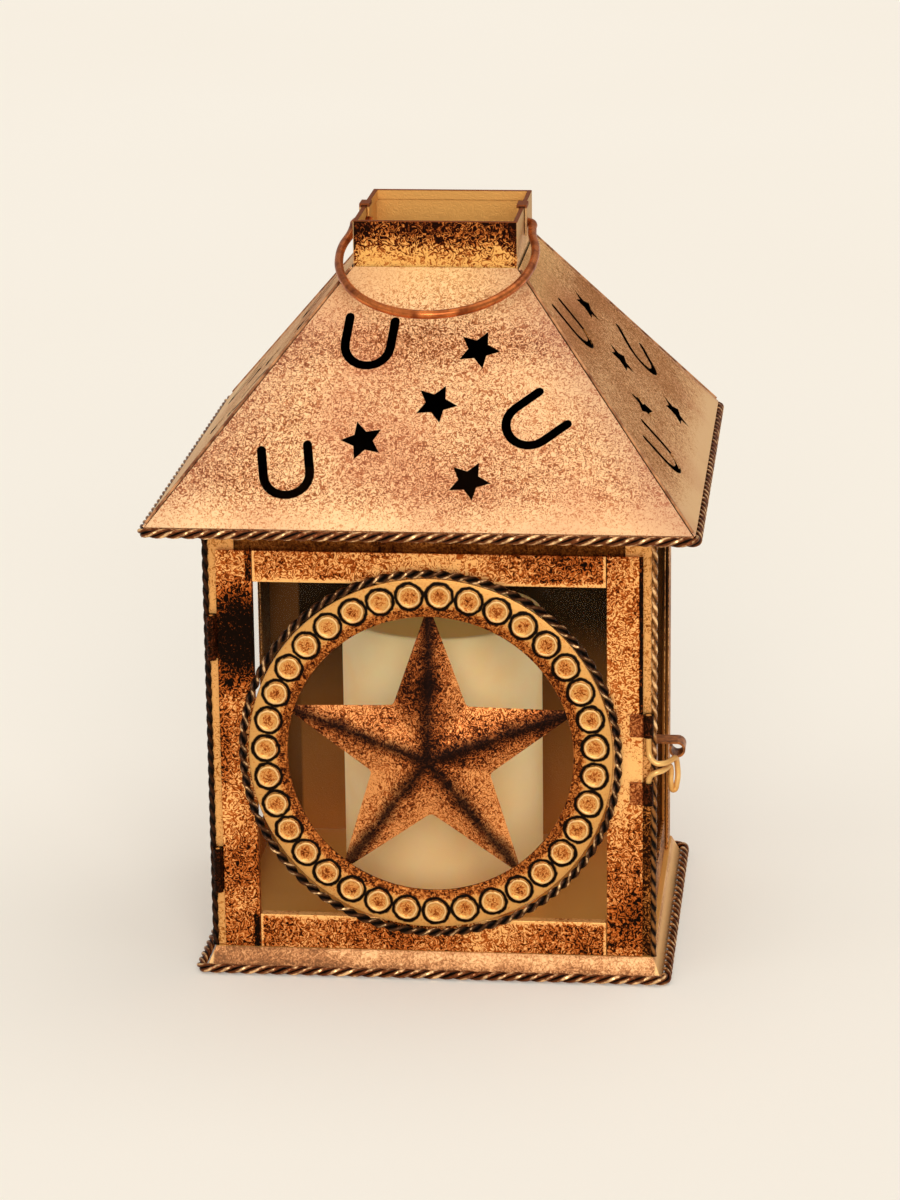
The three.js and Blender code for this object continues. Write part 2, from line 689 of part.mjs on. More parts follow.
// Pillar candle with a hollowed top, and its wick
function makeCandle() {
  const foot = floorHeight + clearance;
  const edge = 1.5;
  const bowl = candleHeight - candleRecess;
  const profile = [
    [0, 0], [candleRadius - edge, 0], [candleRadius, edge], [candleRadius, candleHeight - edge],
    [candleRadius - edge, candleHeight], [candleRadius - candleRim, candleHeight - 0.6],
    [candleRadius - 1.5 * candleRim, bowl + 1.2], [candleRadius - 3 * candleRim, bowl], [0, bowl],
  ].map(([r, z]) => new THREE.Vector2(r, z));
  const pillar = new THREE.LatheGeometry(profile, 40).rotateX(Math.PI / 2);
  add("candle", pillar, ivoryWax).position.set(candleX, 0, foot);
  const wickFoot = foot + bowl + clearance;
  const wick = upright(wickRadius, wickFoot, wickFoot + wickHeight, 8);
  add("candle_wick", wick, wickCotton).position.x = candleX;
}

makeBase();
makePosts();
makeHeader();
makeWalls();
makeDoor();
makeMedallion();
makeHinge("hinge_upper", doorTop - hingeFromTop);
makeHinge("hinge_lower", doorBottom + hingeFromBottom);
makeHasp();
makeRoof();
makeChimney();
makeBail();
makeCandle();

export default lantern;
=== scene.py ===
# %% [markdown]
# # A candle lantern with a star door
# The lantern is folded from thin sheet metal, trimmed with twisted wire and finished by dabbing
# copper and near-black paint over gold with a sponge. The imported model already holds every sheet,
# hinge and wire at its true place, so this lesson keeps those shapes and spends its effort on
# paint, wire, wax, glass and light.

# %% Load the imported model
import json
import math
import bpy
from mathutils import Matrix, Vector


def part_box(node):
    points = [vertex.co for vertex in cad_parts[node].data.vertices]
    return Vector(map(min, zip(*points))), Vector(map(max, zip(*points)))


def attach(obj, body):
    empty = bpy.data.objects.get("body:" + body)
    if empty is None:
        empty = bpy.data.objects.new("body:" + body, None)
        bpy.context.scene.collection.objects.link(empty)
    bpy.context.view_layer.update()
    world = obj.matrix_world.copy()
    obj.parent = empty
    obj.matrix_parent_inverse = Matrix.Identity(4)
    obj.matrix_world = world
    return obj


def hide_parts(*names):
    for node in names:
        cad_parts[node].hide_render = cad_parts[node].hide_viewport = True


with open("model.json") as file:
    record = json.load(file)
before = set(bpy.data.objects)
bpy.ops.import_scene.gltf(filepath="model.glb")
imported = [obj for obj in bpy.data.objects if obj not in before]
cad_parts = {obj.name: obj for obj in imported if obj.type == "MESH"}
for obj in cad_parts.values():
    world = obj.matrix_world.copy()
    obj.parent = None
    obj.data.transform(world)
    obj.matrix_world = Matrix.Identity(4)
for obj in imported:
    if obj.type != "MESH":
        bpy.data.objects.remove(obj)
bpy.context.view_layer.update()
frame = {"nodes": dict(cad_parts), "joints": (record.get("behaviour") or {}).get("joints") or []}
nodes = frame["nodes"]

# %% [markdown]
# ## The camera
# The picture was taken with a long lens, a little above the roof and slightly to the right. A long
# lens is far away, so upright edges stay almost parallel. Three turns aim the camera: round the
# upright axis, down towards the lantern and a hair of roll. Each turn is a matrix, and multiplying
# them in that order applies them one after the other.

# %% Place the camera
camera_data = bpy.data.cameras.new("camera")
camera = bpy.data.objects.new("camera", camera_data)
bpy.context.scene.collection.objects.link(camera)
bpy.context.scene.camera = camera
camera_data.sensor_width = 36.0
camera_data.lens = 120.27
camera_data.clip_end = 50.0
stand = Matrix.Translation((0.15699, -1.45454, 0.55557))
yaw = Matrix.Rotation(math.radians(6.139), 4, "Z")
tip = Matrix.Rotation(math.radians(90.0 - 16.397), 4, "X")
roll = Matrix.Rotation(math.radians(-0.679), 4, "Z")
camera.matrix_world = stand @ yaw @ tip @ roll
print("camera", round(camera_data.lens, 1), "mm lens,", round(camera.location.length, 2), "m away")

# %% [markdown]
# ## Light
# A lantern like this is photographed on a sweep of cream paper under big soft lamps. Three wide
# suns stand for the softboxes: a low one beside the camera, so light reaches the candle between the
# arms of the star, a weak one at the left and one overhead for the paper. The world fills the rest.

# %% Make the lamps
def tone(red, green, blue):
    linear = []
    for value in (red, green, blue):
        value /= 255.0
        linear.append(value / 12.92 if value <= 0.04045 else ((value + 0.055) / 1.055) ** 2.4)
    return (*linear, 1.0)


def sun(name, aim_from, strength, spread, colour):
    lamp = bpy.data.lights.new(name, "SUN")
    lamp.energy = strength
    lamp.angle = math.radians(spread)
    lamp.color = colour
    holder = bpy.data.objects.new(name, lamp)
    bpy.context.scene.collection.objects.link(holder)
    holder.rotation_euler = Vector(aim_from).to_track_quat("Z", "Y").to_euler()


bpy.context.scene.view_settings.view_transform = "Standard"
world = bpy.data.worlds.new("studio")
world.use_nodes = True
bpy.context.scene.world = world
sky = world.node_tree.nodes["Background"]
sky.inputs["Color"].default_value = (1.0, 0.965, 0.91, 1.0)
sky.inputs["Strength"].default_value = 0.42
sun("key", (0.15, -1.0, 0.4), 1.75, 36, (1.0, 0.975, 0.94))
sun("fill", (-0.6, -0.6, 0.9), 0.35, 60, (1.0, 0.97, 0.93))
sun("sweep", (0.3, 0.1, 1.0), 0.75, 60, (1.0, 0.975, 0.94))

# %% [markdown]
# ## Small helpers for materials
# Every finish below is a little tree of nodes. Writing each node out in full would hide the idea,
# so these helpers add a node or two each and hand back the output. A number or a socket can be
# passed in. A Mix node has sockets for every kind of value, so the table gives the two inputs and
# the output of each kind that is used.

# %% Node helpers
def new_finish(name):
    finish = bpy.data.materials.new(name)
    finish.use_nodes = True
    tree = finish.node_tree
    surface = tree.nodes["Principled BSDF"]
    spot = tree.nodes.new("ShaderNodeTexCoord").outputs["Object"]
    return finish, tree, surface, spot


def feed(tree, socket, value):
    if isinstance(value, bpy.types.NodeSocket):
        tree.links.new(value, socket)
    else:
        socket.default_value = value


def maths(tree, operation, first, second=0.0):
    step = tree.nodes.new("ShaderNodeMath")
    step.operation = operation
    feed(tree, step.inputs[0], first)
    feed(tree, step.inputs[1], second)
    return step.outputs[0]


def times(tree, first, second):
    return maths(tree, "MULTIPLY", first, second)


def absolute(tree, value):
    return maths(tree, "ABSOLUTE", value)


def total(tree, *values):
    result = values[0]
    for value in values[1:]:
        result = maths(tree, "ADD", result, value)
    return result


def length_of(tree, first, second):
    return maths(tree, "SQRT", total(tree, times(tree, first, first), times(tree, second, second)))


def swing(tree, value, amount):
    return times(tree, maths(tree, "SUBTRACT", value, 0.5), amount)


def ramp(tree, value, low, high, start=0.0, end=1.0):
    step = tree.nodes.new("ShaderNodeMapRange")
    feed(tree, step.inputs["Value"], value)
    step.inputs["From Min"].default_value = low
    step.inputs["From Max"].default_value = high
    step.inputs["To Min"].default_value = start
    step.inputs["To Max"].default_value = end
    return step.outputs["Result"]


def cloud(tree, spot, scale, detail=2.0, rough=0.5, swirl=0.0):
    step = tree.nodes.new("ShaderNodeTexNoise")
    tree.links.new(spot, step.inputs["Vector"])
    step.inputs["Scale"].default_value = scale
    step.inputs["Detail"].default_value = detail
    step.inputs["Roughness"].default_value = rough
    step.inputs["Distortion"].default_value = swirl
    return step.outputs[0]


MIX_SOCKETS = {"RGBA": (6, 7, 2), "FLOAT": (2, 3, 0)}


def blend(tree, factor, under, over, kind="RGBA"):
    first, second, result = MIX_SOCKETS[kind]
    step = tree.nodes.new("ShaderNodeMix")
    step.data_type = kind
    feed(tree, step.inputs[0], factor)
    feed(tree, step.inputs[first], under)
    feed(tree, step.inputs[second], over)
    return step.outputs[result]


def axes_of(tree, spot):
    step = tree.nodes.new("ShaderNodeSeparateXYZ")
    tree.links.new(spot, step.inputs[0])
    return step.outputs[0], step.outputs[1], step.outputs[2]


def shifted(tree, spot, offset, stretch=(1.0, 1.0, 1.0)):
    step = tree.nodes.new("ShaderNodeMapping")
    tree.links.new(spot, step.inputs["Vector"])
    step.inputs["Location"].default_value = offset
    step.inputs["Scale"].default_value = stretch
    return step.outputs[0]


def smudge(tree, spot, centre, radius, amount):
    step = tree.nodes.new("ShaderNodeVectorMath")
    step.operation = "DISTANCE"
    tree.links.new(spot, step.inputs[0])
    step.inputs[1].default_value = centre
    return ramp(tree, step.outputs["Value"], 0.35 * radius, radius, amount, 0.0)


def band(tree, value, low, high, amount, soft=0.0003):
    start = ramp(tree, value, low, low + soft, 0.0, amount)
    return times(tree, start, ramp(tree, value, high - soft, high, 1.0, 0.0))


print("helpers ready")

# %% [markdown]
# ## The paper floor
# Paper this close to white is partly lit and partly glowing to the camera, which keeps it pale and
# the shadows faint. The glow shows only where the camera looks at the paper, straight or through
# glass, so it adds no light to the lantern.

# %% Lay the paper floor
PAPER_GLOW = 0.2


def paper_finish():
    finish, tree, surface, spot = new_finish("cream_paper")
    tint = blend(tree, cloud(tree, spot, 1.2), tone(255, 250, 240), tone(252, 245, 233))
    tree.links.new(tint, surface.inputs["Base Color"])
    surface.inputs["Roughness"].default_value = 0.9
    surface.inputs["Specular IOR Level"].default_value = 0.0
    glow = tree.nodes.new("ShaderNodeEmission")
    tree.links.new(tint, glow.inputs["Color"])
    rays = tree.nodes.new("ShaderNodeLightPath")
    seen = maths(tree, "MAXIMUM", rays.outputs["Is Camera Ray"], rays.outputs["Is Transmission Ray"])
    both = tree.nodes.new("ShaderNodeMixShader")
    tree.links.new(times(tree, seen, PAPER_GLOW), both.inputs[0])
    tree.links.new(surface.outputs[0], both.inputs[1])
    tree.links.new(glow.outputs[0], both.inputs[2])
    tree.links.new(both.outputs[0], tree.nodes["Material Output"].inputs["Surface"])
    return finish


bpy.ops.object.select_all(action="DESELECT")
bpy.ops.mesh.primitive_plane_add(size=14.0, location=(0, 0, -0.0004))
floor = bpy.context.object
floor.name = "paper_floor"
floor.data.materials.append(paper_finish())
print("floor", floor.dimensions.x, "m wide")

# %% [markdown]
# ## Sponged paint
# The maker lays down copper, wipes near-black over it and dabs gold on top with a sponge, which
# leaves curly worms of light paint about a millimetre wide. One number drives it all: the sine of a
# swirling noise makes the worms, like contour lines on a map, a fine grain roughens them and slow
# clouds move the number up or down. A colour ramp turns it into soot, dark copper, copper and gold,
# so more dirt or painted shade slides the number towards soot, and a painted highlight slides it
# towards gold.

# %% The sponge recipe
WORM_LINES = 24.0
SOOT_STOP, DARK_STOP, COPPER_STOP, GOLD_STOP = 0.32, 0.43, 0.54, 0.66


# The dirt number holds real soot, and also the painted shade and painted highlights that some finishes
# add.
def sponge(tree, spot, tones, dirt_and_shading=0.0, worm=420.0, smoke=0.3, curl=0.12, patch=42.0):
    grain = swing(tree, cloud(tree, spot, 1000.0, 3.0, 0.6, 0.6), 0.5)
    swirl = cloud(tree, shifted(tree, spot, (0.3, 0.1, 0.2)), worm, 1.0, 0.4, 1.4)
    worms = times(tree, maths(tree, "SINE", times(tree, swirl, WORM_LINES)), curl)
    slow = cloud(tree, shifted(tree, spot, (0.2, 0.8, 0.5)), patch, 4.0, 0.6)
    drift = swing(tree, slow, smoke)
    shade = maths(tree, "SUBTRACT", total(tree, 0.5, grain, worms, drift), dirt_and_shading)
    steps = tree.nodes.new("ShaderNodeValToRGB")
    tree.links.new(shade, steps.inputs[0])
    stops = steps.color_ramp.elements
    stops[0].position = SOOT_STOP
    stops[1].position = GOLD_STOP
    stops.new(DARK_STOP)
    stops.new(COPPER_STOP)
    for stop, colour in zip(stops, tones):
        stop.color = colour
    return steps.outputs[0], shade


def sponged_surface(tree, surface, colour, shade, shine=0.38, metal=0.45, bump=0.5):
    tree.links.new(colour, surface.inputs["Base Color"])
    tree.links.new(ramp(tree, shade, 0.35, 0.65, shine + 0.2, shine), surface.inputs["Roughness"])
    surface.inputs["Metallic"].default_value = metal
    surface.inputs["Specular IOR Level"].default_value = 0.04
    relief = tree.nodes.new("ShaderNodeBump")
    relief.inputs["Strength"].default_value = bump
    relief.inputs["Distance"].default_value = 0.0002
    tree.links.new(shade, relief.inputs["Height"])
    tree.links.new(relief.outputs["Normal"], surface.inputs["Normal"])


print("sponge recipe ready")

# %% [markdown]
# ## Roof paint
# The roof is the lightest part: peach over copper, with a plain gold band along the eave and under
# the chimney. Its inside is painted near-black as painted shade, so the punched stars and horseshoes
# look black. A face that looks towards the middle of the lantern is an inner one, which a dot product
# of its direction and its place can tell. The cut edges of the stars and horseshoes don't look
# upwards as the sheet does, and get the same painted shade.

# %% Paint for the roof
ROOF_TONES = (tone(118, 60, 30), tone(186, 112, 68), tone(220, 150, 98), tone(255, 210, 156))
# Near-black painted shade for faces inside the lantern, where light hardly reaches.
SHADE_BLACK = tone(9, 5, 3)
EAVE_TOP = 0.1815
ROOF_TOP = 0.2590


def inner_faces(tree, spot, edge=-0.3):
    outward = tree.nodes.new("ShaderNodeVectorMath")
    outward.operation = "NORMALIZE"
    tree.links.new(shifted(tree, spot, (0, 0, 0), (1.0, 1.0, 0.0)), outward.inputs[0])
    turned = tree.nodes.new("ShaderNodeVectorMath")
    turned.operation = "DOT_PRODUCT"
    tree.links.new(outward.outputs[0], turned.inputs[0])
    tree.links.new(tree.nodes.new("ShaderNodeNewGeometry").outputs["True Normal"], turned.inputs[1])
    return ramp(tree, turned.outputs["Value"], edge - 0.1, edge, 1.0, 0.0)


def roof_finish():
    finish, tree, surface, spot = new_finish("roof_sponge")
    x, y, z = axes_of(tree, spot)
    eave = ramp(tree, z, EAVE_TOP, EAVE_TOP + 0.0095, -0.20, 0.0)
    crown = ramp(tree, z, ROOF_TOP - 0.021, ROOF_TOP, 0.0, -0.12)
    # A darker band just below the bail: partly soot and partly painted shadow of the bail.
    bail_shadow_band = band(tree, z, ROOF_TOP - 0.033, ROOF_TOP - 0.013, 0.09, 0.007)
    beside = maths(tree, "SUBTRACT", absolute(tree, x), absolute(tree, y))
    sides = ramp(tree, beside, -0.001, 0.001)
    ends = ramp(tree, sides, 0.0, 1.0, 1.0, 0.0)
    golden = times(tree, sides, ramp(tree, z, EAVE_TOP - 0.0005, EAVE_TOP + 0.0185, -0.18, 0.13))
    left = times(tree, sides, ramp(tree, x, -0.030, -0.025, -0.20, 0.0))
    dirt_and_shading = total(tree, eave, crown, golden, left, bail_shadow_band, -0.045)
    colour, shade = sponge(tree, spot, ROOF_TONES, dirt_and_shading, worm=560.0, smoke=0.5, curl=0.18, patch=16.0)
    rosy = cloud(tree, shifted(tree, spot, (0.7, 0.3, 0.9)), 22.0, 2.0)
    colour = blend(tree, ramp(tree, rosy, 0.46, 0.64, 0.0, 0.28), colour, tone(208, 126, 92))
    colour = blend(tree, ramp(tree, sides, 0.0, 1.0, 0.0, 0.30), colour, tone(190, 138, 70))
    gilded = ramp(tree, z, ROOF_TOP - 0.016, ROOF_TOP, 0.0, 0.4)
    colour = blend(tree, gilded, colour, tone(252, 200, 124))
    # Painted shade: the front is tinted mauve-grey near the hips, more on the right.
    hip_shade = times(tree, ramp(tree, beside, -0.026, -0.001), ramp(tree, x, -0.02, 0.02, 0.25, 0.42))
    colour = blend(tree, times(tree, hip_shade, ends), colour, tone(156, 110, 98))
    # Painted shade: steep cut edges and inner faces get the near-black colour.
    upward = axes_of(tree, tree.nodes.new("ShaderNodeNewGeometry").outputs["True Normal"])[2]
    steep = ramp(tree, upward, 0.25, 0.35, 1.0, 0.0)
    cut = times(tree, steep, ramp(tree, z, EAVE_TOP, EAVE_TOP + 0.001))
    colour = blend(tree, maths(tree, "MAXIMUM", cut, inner_faces(tree, spot)), colour, SHADE_BLACK)
    sponged_surface(tree, surface, colour, shade, shine=0.45, metal=0.3)
    return finish


def eave_finish():
    finish, tree, surface, spot = new_finish("eave_sponge")
    z = axes_of(tree, spot)[2]
    colour, shade = sponge(tree, spot, ROOF_TONES, 0.05)
    # Painted shade: faces inside the roof get the near-black colour and are made matte.
    above = times(tree, ramp(tree, z, 0.1770, 0.1774), inner_faces(tree, spot, 0.5))
    hidden = maths(tree, "MAXIMUM", above, inner_faces(tree, spot))
    colour = blend(tree, hidden, colour, SHADE_BLACK)
    sponged_surface(tree, surface, colour, shade)
    tree.links.new(ramp(tree, hidden, 0.0, 1.0, 0.45, 0.0), surface.inputs["Metallic"])
    tree.links.new(ramp(tree, hidden, 0.0, 1.0, 0.5, 1.0), surface.inputs["Roughness"])
    return finish


CHIMNEY_HALF_X, CHIMNEY_HALF_Y, CHIMNEY_HEM = 0.0300, 0.0315, 0.2769


def chimney_finish():
    finish, tree, surface, spot = new_finish("chimney_sponge")
    x, y, z = axes_of(tree, spot)
    tones = (tone(26, 7, 1), tone(96, 38, 10), tone(188, 106, 44), tone(238, 180, 98))
    aside = absolute(tree, x)
    dirt_and_shading = ramp(tree, z, 0.2630, 0.2735, -0.16, 0.15)
    corner = ramp(tree, aside, CHIMNEY_HALF_X - 0.0065, CHIMNEY_HALF_X, 0.0, 0.14)
    dirt_and_shading = total(tree, dirt_and_shading, corner)
    colour, shade = sponge(tree, spot, tones, dirt_and_shading, worm=400.0, smoke=0.4, curl=0.15)
    # Painted reflection: the chimney's side walls are painted light, as if catching the light.
    lit_flank = ramp(tree, aside, CHIMNEY_HALF_X - 0.0004, CHIMNEY_HALF_X - 0.0001, 0.0, 0.6)
    colour = blend(tree, lit_flank, colour, tone(255, 204, 140))
    across = maths(tree, "DIVIDE", aside, CHIMNEY_HALF_X)
    deep = maths(tree, "DIVIDE", absolute(tree, y), CHIMNEY_HALF_Y)
    inside = ramp(tree, maths(tree, "MAXIMUM", across, deep), 0.982, 0.99, 1.0, 0.0)
    # Painted shade: deep inside the chimney the wall is near-black, turning gold near the top.
    throat = blend(tree, ramp(tree, z, 0.2560, 0.2625), SHADE_BLACK, tone(232, 172, 94))
    colour = blend(tree, inside, colour, throat)
    colour = blend(tree, ramp(tree, z, CHIMNEY_HEM, CHIMNEY_HEM + 0.0003), colour, tone(132, 70, 36))
    sponged_surface(tree, surface, colour, shade)
    return finish


roof_paint = roof_finish()
eave_paint = eave_finish()
chimney_paint = chimney_finish()
print("roof and chimney paint made")

# %% [markdown]
# ## Door, body and base paint
# The door frame is the reddest part, with a sooty patch high on its hinge side and along the bottom
# rail. Light lines along the folds are painted highlights, and dark lines beside the stiles are
# painted shade. The posts and walls are browner, and the inside of the back wall is painted shade,
# almost black under the roof. The flared base is pinkish gold. Smudges are soft balls of extra soot,
# or of less soot, placed where the rag left them. Each row of the door's table says how far across
# and how high it is, its radius and its soot. Depth is squeezed, so that a ball reaches through the
# folded sheet.

# %% Paint for the door
DOOR_TONES = (tone(18, 7, 2), tone(152, 70, 19), tone(198, 105, 42), tone(255, 192, 116))
SQUEEZE = 0.2
DOOR_FACE = -0.0685 * SQUEEZE
DOOR_SMUDGES = (
    (-0.0690, 0.129, 0.024, 0.36), (-0.0715, 0.098, 0.030, 0.12), (-0.0660, 0.030, 0.026, 0.08),
    (-0.0100, 0.012, 0.040, 0.08), (0.0500, 0.010, 0.030, 0.08), (0.0400, 0.161, 0.030, 0.08),
    (0.0000, 0.152, 0.024, -0.12), (0.0715, 0.083, 0.019, -0.13), (0.0780, 0.024, 0.016, 0.18),
)
hub_height = (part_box("door_glass")[0].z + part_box("door_glass")[1].z) / 2
window_half = 0.0645
stile_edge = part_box("door_stile_latch")[0].x
door_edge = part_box("door_stile_latch")[1].x
rim_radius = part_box("medallion_rope")[1].x


def door_finish():
    finish, tree, surface, spot = new_finish("door_sponge")
    x, z = axes_of(tree, spot)[::2]
    flat = shifted(tree, spot, (0, 0, 0), (1.0, SQUEEZE, 1.0))
    across = absolute(tree, x)
    window = absolute(tree, maths(tree, "SUBTRACT", z, hub_height))
    # Painted highlight: the rails are lighter just beyond the window's edge.
    rail = ramp(tree, window, window_half + 0.0006, window_half + 0.0018, -0.24, 0.0)
    rail = times(tree, rail, ramp(tree, across, stile_edge - 0.0010, stile_edge, 1.0, 0.0))
    # A painted highlight line at the rail ends and a painted shadow line beside the hinge stile's
    # inner edge.
    fold_highlight = band(tree, across, stile_edge - 0.0014, stile_edge, -0.26)
    fold_shadow = band(tree, x, -stile_edge - 0.0024, -stile_edge, 0.24)
    folds = total(tree, fold_highlight, fold_shadow)
    folds = times(tree, folds, ramp(tree, window, window_half, window_half + 0.0004))
    # Painted shade: the latch stile's outer edge is darkened where the gap beside the post shows dark.
    seam = ramp(tree, x, door_edge - 0.0016, door_edge - 0.0012, 0.0, 0.32)
    seam = times(tree, seam, ramp(tree, z, 0.094, 0.098))
    around = smudge(tree, flat, (0.0, DOOR_FACE, hub_height), rim_radius + 0.010, -0.12)
    dirt_and_shading = total(tree, rail, folds, seam, ramp(tree, around, -0.04, 0.0, -0.07, 0.0), -0.02)
    for beside, up, radius, soot in DOOR_SMUDGES:
        dirt_and_shading = total(tree, dirt_and_shading, smudge(tree, flat, (beside, DOOR_FACE, up), radius, soot))
    colour, shade = sponge(tree, spot, DOOR_TONES, dirt_and_shading, worm=400.0, smoke=0.5, curl=0.13)
    sponged_surface(tree, surface, colour, shade)
    return finish


door_paint = door_finish()
print("door paint made, window", round(2000 * stile_edge, 1), "mm wide")

# %% Paint for the walls and base
def body_finish(name, tones, curl, top_shade, edge=-0.3):
    finish, tree, surface, spot = new_finish(name)
    x, y, z = axes_of(tree, spot)
    front = ramp(tree, y, -0.0655, -0.0650, -0.10, 0.0)
    right = ramp(tree, z, 0.060, 0.100, -1.1, 1.5)
    dirt_and_shading = times(tree, front, blend(tree, ramp(tree, x, -0.02, 0.02), 2.0, right, "FLOAT"))
    colour, shade = sponge(tree, spot, tones, dirt_and_shading, worm=400.0, smoke=0.45, curl=curl)
    # Painted shade: inner faces go from lit brown low down to a dark colour under the roof.
    inner_shade = blend(tree, ramp(tree, z, 0.02, 0.11), tone(176, 112, 50), top_shade)
    colour = blend(tree, inner_faces(tree, spot, edge), colour, inner_shade)
    sponged_surface(tree, surface, colour, shade)
    return finish


def wall_finish():
    finish, tree, surface, spot = new_finish("back_wall_sponge")
    x, y, z = axes_of(tree, spot)
    colour, shade = sponge(tree, spot, DOOR_TONES, 0.02)
    # Painted shade: the inside of the back wall goes from gold-brown at the bottom to near-black under
    # the roof.
    dim = blend(tree, ramp(tree, z, 0.015, 0.10), tone(190, 126, 60), tone(30, 19, 8))
    # Painted light: the folds at the wall's sides stay a lighter brown low down, where they catch
    # light.
    fold = ramp(tree, absolute(tree, x), 0.0665, 0.0675)
    fold = times(tree, fold, ramp(tree, z, 0.125, 0.145, 1.0, 0.0))
    dim = blend(tree, fold, dim, tone(112, 72, 34))
    inside = ramp(tree, y, 0.0640, 0.0644, 1.0, 0.0)
    colour = blend(tree, inside, colour, dim)
    sponged_surface(tree, surface, colour, shade)
    return finish


def base_finish():
    finish, tree, surface, spot = new_finish("base_sponge")
    x, z = axes_of(tree, spot)[::2]
    tones = (tone(104, 56, 28), tone(166, 102, 58), tone(218, 154, 100), tone(250, 198, 140))
    aside = ramp(tree, x, -0.06, 0.06, 0.06, -0.04)
    dirt_and_shading = total(tree, ramp(tree, z, 0.0005, 0.0065, 0.14, -0.04), aside)
    colour, shade = sponge(tree, spot, tones, dirt_and_shading, worm=400.0, smoke=0.6, curl=0.07)
    colour = blend(tree, 0.15, colour, tone(236, 178, 124))
    # Painted light: the flange's side faces are painted light and warm, as if lit.
    lit_flank = ramp(tree, absolute(tree, x), 0.0822, 0.0830, 0.0, 0.9)
    colour = blend(tree, lit_flank, colour, tone(255, 204, 138))
    colour = blend(tree, ramp(tree, z, 0.0080, 0.0083), colour, tone(238, 176, 92))
    sponged_surface(tree, surface, colour, shade)
    return finish


BODY_TONES = (tone(34, 13, 3), tone(112, 56, 16), tone(184, 112, 48), tone(236, 172, 100))
# The header's tones are dark, partly its own paint and partly painted shade under the eave.
SHADED_HEADER_TONES = (tone(34, 12, 1), tone(86, 42, 9), tone(122, 68, 22), tone(170, 106, 46))
body_paint = body_finish("body_sponge", BODY_TONES, 0.12, tone(44, 28, 13))
# Painted shade: the header's inner, top and bottom faces get the near-black colour.
header_paint = body_finish("header_sponge", SHADED_HEADER_TONES, 0.06, SHADE_BLACK, 0.5)
wall_paint = wall_finish()
base_paint = base_finish()
print("body, wall and base paint made")

# %% [markdown]
# ## Wire, hinge, glass, wax and wick
# The trim wire is twisted from a few strands. The grooves between them are dark, partly black paint
# and partly painted shade, and the crowns are copper and cream, partly rubbed paint and partly
# painted highlight, so its colour follows a value stored on each vertex: its distance from the
# twist's axis. The hasp is bare pale wire. Glass is a faint see-through film with a little dust, and
# wax lets light a little way in before it comes out again. A touch of emission stands for the light
# that wanders right through the candle.

# %% Metal finishes
def twist_finish(name, dirt_and_shading, copper, sooty_foot=0.0):
    finish, tree, surface, spot = new_finish(name)
    crown = tree.nodes.new("ShaderNodeAttribute")
    crown.attribute_name = "crown"
    mottle = cloud(tree, spot, 260.0, 3.0, 0.6)
    foot = ramp(tree, axes_of(tree, spot)[2], 0.055, 0.090, -sooty_foot, 0.0)
    rubbed_and_lit = total(tree, crown.outputs["Fac"], swing(tree, mottle, 0.55), foot, -dirt_and_shading)
    # Dark grooves, partly painted shade, and cream crowns, partly painted highlight.
    colour = blend(tree, ramp(tree, rubbed_and_lit, 0.62, 0.88), tone(14, 6, 2), copper)
    colour = blend(tree, ramp(tree, rubbed_and_lit, 0.93, 1.05), colour, tone(255, 206, 146))
    tree.links.new(colour, surface.inputs["Base Color"])
    surface.inputs["Metallic"].default_value = 0.45
    surface.inputs["Specular IOR Level"].default_value = 0.1
    tree.links.new(ramp(tree, rubbed_and_lit, 0.5, 1.0, 0.5, 0.22), surface.inputs["Roughness"])
    return finish


def dark_finish():
    finish, tree, surface, spot = new_finish("hinge_patina")
    tones = (tone(24, 9, 2), tone(84, 36, 12), tone(146, 72, 32), tone(214, 138, 76))
    knuckle = ramp(tree, absolute(tree, axes_of(tree, spot)[0]), 0.0775, 0.0785, -0.02, 0.20)
    colour, shade = sponge(tree, spot, tones, knuckle, worm=380.0, smoke=0.5, curl=0.07)
    sponged_surface(tree, surface, colour, shade, shine=0.36)
    return finish


def plain_wire_finish(name, colour, shade, mottle_size, shine, metal=0.4):
    finish, tree, surface, spot = new_finish(name)
    mottle = cloud(tree, spot, mottle_size, 3.0, 0.6)
    mixed = blend(tree, ramp(tree, mottle, 0.38, 0.66), colour, shade)
    tree.links.new(mixed, surface.inputs["Base Color"])
    tree.links.new(ramp(tree, mottle, 0.3, 0.7, shine, shine + 0.15), surface.inputs["Roughness"])
    surface.inputs["Metallic"].default_value = metal
    surface.inputs["Specular IOR Level"].default_value = 0.25
    return finish


twist_paint = twist_finish("twisted_wire_patina", 0.0, tone(112, 58, 27))
rim_twist_paint = twist_finish("rim_twisted_wire", 0.03, tone(78, 46, 24))
latch_twist_paint = twist_finish("latch_side_twisted_wire", -0.02, tone(150, 96, 48), sooty_foot=0.2)
sooty_twist_paint = twist_finish("sooty_twisted_wire", 0.17, tone(64, 34, 16))
dark_paint = dark_finish()
hasp_paint = plain_wire_finish("pale_hasp_wire", tone(236, 186, 112), tone(214, 154, 80), 120.0, 0.3)
bail_paint = plain_wire_finish("bail_copper", tone(214, 120, 60), tone(128, 60, 24), 160.0, 0.22, 0.8)
catch_paint = plain_wire_finish("catch_bronze", tone(186, 112, 52), tone(96, 50, 20), 300.0, 0.3, 0.2)
seam_paint = plain_wire_finish("hip_seam_copper", tone(206, 146, 98), tone(112, 62, 36), 170.0, 0.4,
                               0.3)
wick_cotton = plain_wire_finish("charred_wick", tone(70, 60, 48), tone(24, 20, 16), 900.0, 0.8, 0.0)
print("metal finishes made")

# %% Glass and wax
def middle(node):
    low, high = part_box(node)
    return (low + high) / 2


